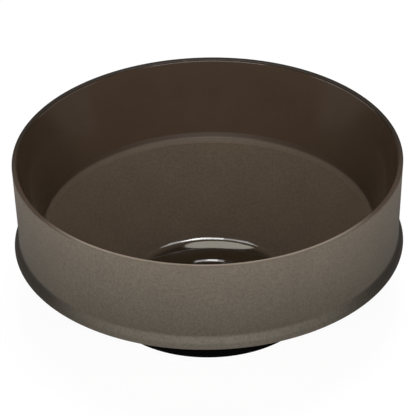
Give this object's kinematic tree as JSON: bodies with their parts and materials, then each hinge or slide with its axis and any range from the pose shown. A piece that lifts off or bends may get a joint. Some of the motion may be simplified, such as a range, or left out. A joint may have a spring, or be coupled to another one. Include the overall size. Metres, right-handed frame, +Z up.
{
  "type": "magnetic pin bowl",
  "caption": "Round glazed stoneware bowl with an upright flanged wall on a short black foot that holds magnets, for catching and keeping steel pins and needles.",
  "frame": {"origin": "centre of the circle on which the grip ring stands, on the table", "axes": "+Z up along the bowl's axis"},
  "size_m": [0.1504, 0.1504, 0.065],
  "materials": {
    "stoneware": "grey-taupe stoneware, matte outside, glossy dark glaze inside",
    "silicone_adhesive": "black silicone",
    "black_plastic": "satin black moulding",
    "carrier_plastic": "grey moulding",
    "nickel_plate": "nickel plated",
    "keeper_steel": "zinc plated steel",
    "foam": "closed cell foam",
    "screw_steel": "black oxide steel",
    "silicone": "matte black silicone"
  },
  "bodies": {
    "root": {"bowl_body": "stoneware", "bond_ring": "silicone_adhesive", "base_ring": "black_plastic", "magnet_carrier": "carrier_plastic", "disc_magnets": "nickel_plate", "keeper_ring": "keeper_steel", "well_pad": "foam", "bottom_cover": "black_plastic", "cover_screws": "screw_steel", "grip_ring": "silicone"}
  },
  "joints": []
}
